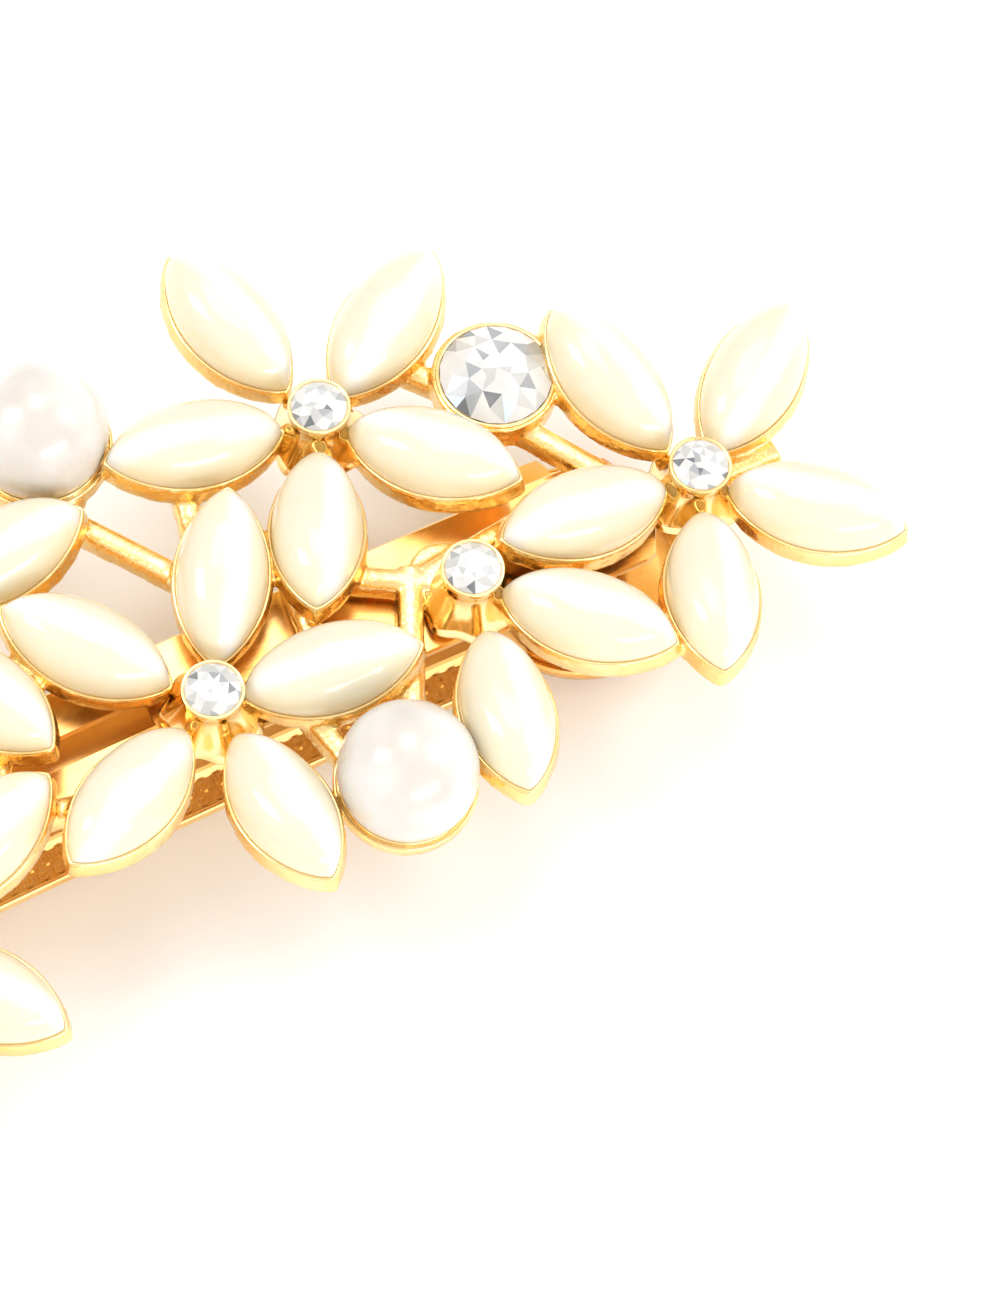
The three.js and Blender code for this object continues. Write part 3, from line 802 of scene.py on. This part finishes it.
def make_arm():
    """The strip with its lips, raised middle and rows of rings, the finger pad and the knuckle."""
    section = in_mm([
        (-3.85, 0), (3.85, 0), (3.95, 0.1), (3.95, 0.7), (3.87, 0.8), (3.75, 0.8), (3.65, 0.7),
        (3.6, 0.5), (1.9, 0.5), (1.6, 0.85), (1.4, 0.95), (-1.4, 0.95), (-1.6, 0.85), (-1.9, 0.5),
        (-3.6, 0.5), (-3.65, 0.7), (-3.75, 0.8), (-3.87, 0.8), (-3.95, 0.7), (-3.95, 0.1),
    ])
    heap = Heap()
    heap.add(strip(-ARM_HALF_LENGTH, ARM_HALF_LENGTH, section))
    heap.add(strip(PIN_X, 1 * MM - ARM_HALF_LENGTH, flat_section(NECK_HALF_WIDTH, 0, 0.5 * MM)))
    tongue = soft_block(1.05 * MM, 3 * MM, 0.68 * MM, 0.5 * MM, 0.12 * MM)
    heap.add(tongue, on_dome(PAD_X - 5.75 * MM, 0, 0.7 * MM))
    for y, start in [(2.35, -27.5), (3.15, -27), (-2.35, -27.5), (-3.15, -27)]:
        for x in np.arange(start, 25.2, 1):
            heap.add(dimple(), on_dome(x * MM, y * MM, 0.55 * MM))
    clip_piece("arm_strip", heap.shape(), "arm", "swing_arm", material=ARM_GILT)

    rim = PAD_RADIUS / MM
    pad = in_mm([
        (0.01, 0), (rim - 1.2, 0), (rim - 0.5, 0.15), (rim - 0.1, 0.5), (rim, 0.95), (rim - 0.05, 1.3),
        (rim - 0.2, 1.42), (rim - 0.35, 1.3), (rim - 0.5, 0.95), (rim - 0.9, 0.66), (rim - 1.8, 0.52),
        (rim - 3.5, 0.47), (0.01, 0.45),
    ])
    place = on_dome(PAD_X, 0, PAD_STEP)
    obj = clip_piece("arm_pad", loft(turned(pad, 72)), "arm", "swing_arm", place, smooth=True)
    cut_box(obj, on_dome(CATCH_X, 0, 0), *WINDOW)

    tube = [
        (KNUCKLE_BORE, -NECK_HALF_WIDTH), (KNUCKLE_RADIUS, -NECK_HALF_WIDTH),
        (KNUCKLE_RADIUS, NECK_HALF_WIDTH), (KNUCKLE_BORE, NECK_HALF_WIDTH),
    ]
    knuckle = [
        [(r * math.cos(a), y, r * math.sin(a)) for a in np.linspace(0, 2 * math.pi, 40, endpoint=False)]
        for r, y in tube
    ]
    place = Matrix.Translation(middle("hinge_pin"))
    clip_piece("arm_knuckle", loft(knuckle, closed=True), "arm", "swing_arm", place)


def make_plate():
    """The arched top plate, slotted, with the hinge's two lugs and the bridges for the tension bar."""
    x0, x1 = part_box("top_plate")[0][0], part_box("top_plate")[1][0]
    z0, z1 = PLATE_UNDERSIDE, PLATE_UNDERSIDE + PLATE_THICKNESS
    section = flat_section(PLATE_HALF_WIDTH, z0, z1)
    shape = strip(x0, x1, section, narrow=rounded_ends(x0, x1, 1.5 * MM), steps=110)
    obj = clip_piece("plate", shape, "top", "top_plate")
    cut_box(obj, on_dome(SLOT_X, 0, PLATE_UNDERSIDE), *SLOT)
    heap = Heap()
    pin = middle("hinge_pin")
    root = dome(PIN_X) + z0 + 0.2 * MM
    outline = [(pin.x + KNUCKLE_RADIUS, root), (pin.x - KNUCKLE_RADIUS, root)]
    for a in np.linspace(math.pi, 2 * math.pi, 20):
        outline.append((pin.x + KNUCKLE_RADIUS * math.cos(a), pin.z + KNUCKLE_RADIUS * math.sin(a)))
    for side in (-1, 1):
        outer = CLIP_Y + side * PLATE_HALF_WIDTH
        inner = outer - side * LUG_THICKNESS
        heap.add(loft([[(x, y, z) for x, z in outline] for y in (inner, outer)]))
    for x, reach in KEEPERS:
        bend = [
            (2.9, 0.1), (2.9, -reach), (2.7, -reach - 0.2), (-2.7, -reach - 0.2), (-2.9, -reach),
            (-2.9, 0.1), (-2.5, 0.1), (-2.5, -reach + 0.2), (2.5, -reach + 0.2), (2.5, 0.1),
        ]
        bridge = loft([in_mm([(end, y, z) for y, z in bend]) for end in (-0.8, 0.8)])
        heap.add(bridge, on_dome(x * MM, 0, PLATE_UNDERSIDE))
    clip_piece("plate_lugs", heap.shape(), "top", "top_plate")


def make_bow():
    """The tension bar under the plate, which sags in its middle."""
    x0, x1 = BOW
    centre = (x0 + x1) / 2

    def level(x):
        arch = 1 - ((x - centre) / (centre - x0)) ** 2
        return -BOW_SAG * arch - BOW_DROP * (x - x0) / (x1 - x0)

    top = PLATE_UNDERSIDE - BOW_GAP
    section = flat_section(BOW_HALF_WIDTH, top - BOW_THICKNESS, top, 0.08 * MM)
    shape = strip(x0, x1, section, level, rounded_ends(x0, x1, 2 * MM))
    clip_piece("bow", shape, "bow", "tension_bar")


def ear_shape(side):
    """A bent strip, seen along the clip as (y, height): hook, wall, finger wing and root."""
    tip = 6.35
    corner = 0.85
    profile = [
        (2.45, 0.25), (3.55, 0.25), (3.55, 0.65), (2.9, 0.65), (2.9, 4.7), (5.5, 4.33), (5.95, 4.26),
        (6.2, 4.22), (tip, 4.2), (tip, 4.65), (6.2, 4.68), (5.95, 4.74), (5.5, 4.84), (2.9, 5.4),
        (2.9, 7.65), (2.7, 7.65), (2.45, 7.4),
    ]
    rings = []
    for end in (-1, 1):
        ring = []
        for y, z in profile:
            out = max(0.0, y - (tip - corner))
            tuck = corner - math.sqrt(max(0.0, corner ** 2 - out ** 2))
            x = end * (CATCH_LENGTH / 2 - tuck * MM)
            ring.append((x, side * y * MM, z * MM))
        rings.append(ring)
    return loft(rings)


def make_ears():
    for node, body, side in [("ear_front", "front_ear", -1), ("ear_back", "back_ear", 1)]:
        obj = clip_piece("bent_" + node, ear_shape(side), body, node, on_dome(CATCH_X, 0, 0))
        bevelled(obj, 0.09 * MM)


def make_catch_base():
    base = soft_block(3 * MM, 2.4 * MM, 0.25 * MM, 0.5 * MM, 0.08 * MM)
    place = on_dome(CATCH_X, 0, PLATE_UNDERSIDE) @ Matrix.Translation((0, 0, -0.55 * MM))
    clip_piece("catch_strip", base, "top", "catch_base", place)


def make_rivets():
    """Domed heads under the plate, each on a shank that reaches up through it."""
    head = [(0.01, -1), (0.7, -0.97), (1.05, -0.88), (1.25, -0.7), (1.3, -0.5), (1.3, -0.3), (0.8, -0.3)]
    low_head = [
        (0.01, -2), (0.7, -1.97), (1.1, -1.88), (1.35, -1.7), (1.4, -1.4), (1.4, -1.1), (0.8, -1.1),
    ]
    shank = [(0.8, 0.6), (0.01, 0.6)]
    rivets = [("left", -31.5 * MM, head), ("right", 24 * MM, head), ("catch", CATCH_X, low_head)]
    for name, x, profile in rivets:
        shape = loft(turned(in_mm(profile + shank), 40))
        place = on_dome(x, 0, PLATE_UNDERSIDE)
        clip_piece("turned_rivet_" + name, shape, "top", "rivet_" + name, place, smooth=True)


def make_pin():
    profile = in_mm([
        (0.01, -4), (0.45, -4), (0.57, -3.93), (0.6, -3.8), (0.6, 3.8), (0.57, 3.93), (0.45, 4), (0.01, 4),
    ])
    place = Matrix.Translation(middle("hinge_pin")) @ Matrix.Rotation(math.pi / 2, 4, "X")
    clip_piece("turned_pin", loft(turned(profile, 32)), "top", "hinge_pin", place)


# ---------------------------------------------------------------- stage, light and camera

def make_stage():
    reach = 3.0
    level = CAD_BOX[0][2]
    verts = [(x * reach, y * reach, level) for x, y in [(-1, -1), (1, -1), (1, 1), (-1, 1)]]
    floor = linked("floor", mesh_of(verts, [(0, 1, 2, 3)], False))
    material, nodes, links, shader = principled("floor", (0.97, 0.975, 0.98), 0.9)
    tone = noise_node(nodes, links, 8, 2)
    links.new(ramp(nodes, links, tone, [(0.2, (0.96, 0.965, 0.97)), (0.8, (0.98, 0.985, 0.99))]),
              shader.inputs["Base Color"])
    floor.data.materials.append(material)


def area_light(name, at, target, size, power):
    data = bpy.data.lights.new(name, "AREA")
    data.shape = "RECTANGLE"
    data.size, data.size_y = size
    data.energy = power
    light = linked(name, data)
    light.location = at
    light.rotation_euler = (Vector(target) - Vector(at)).to_track_quat("-Z", "Y").to_euler()


def make_light():
    world = bpy.data.worlds.new("studio")
    bpy.context.scene.world = world
    world.use_nodes = True
    background = world.node_tree.nodes["Background"]
    background.inputs["Color"].default_value = (1.0, 0.99, 0.975, 1)
    background.inputs["Strength"].default_value = 1.0
    target = (0.02, 0, 0.01)
    area_light("key", (-0.35, 0.25, 0.55), target, (0.2, 0.3), 1.3)
    area_light("above", (0.126, 0.209, 0.55), target, (0.25, 0.25), 0.6)
    area_light("fill", (0.45, -0.15, 0.45), target, (0.3, 0.4), 0.8)
    area_light("front", (0.05, -0.6, 0.3), target, (0.5, 0.15), 1.6)
    bpy.context.scene.view_settings.view_transform = "Standard"


def make_camera():
    """A long lens above and in front of the barrette's right half."""
    azimuth = math.radians(-26.9)
    elevation = math.radians(67)
    aim = Vector((24, -9.8, 16)) * MM
    distance = 0.5
    back = Vector((
        math.sin(azimuth) * math.cos(elevation),
        -math.cos(azimuth) * math.cos(elevation),
        math.sin(elevation),
    ))
    data = bpy.data.cameras.new("camera")
    data.sensor_fit = "VERTICAL"
    data.sensor_height = 36
    data.lens = 250
    data.clip_start = 0.01
    camera = linked("camera", data)
    camera.location = aim + back * distance
    camera.rotation_euler = (-back).to_track_quat("-Z", "Y").to_euler()
    bpy.context.scene.camera = camera


make_camera()
make_stage()
make_light()
set_petals()
set_crystals("large_stone_", LARGE_CUT)
set_crystals("rhinestone_", SMALL_CUT)
set_pearls()
make_casting()
make_arm()
make_plate()
make_bow()
make_ears()
make_catch_base()
make_rivets()
make_pin()
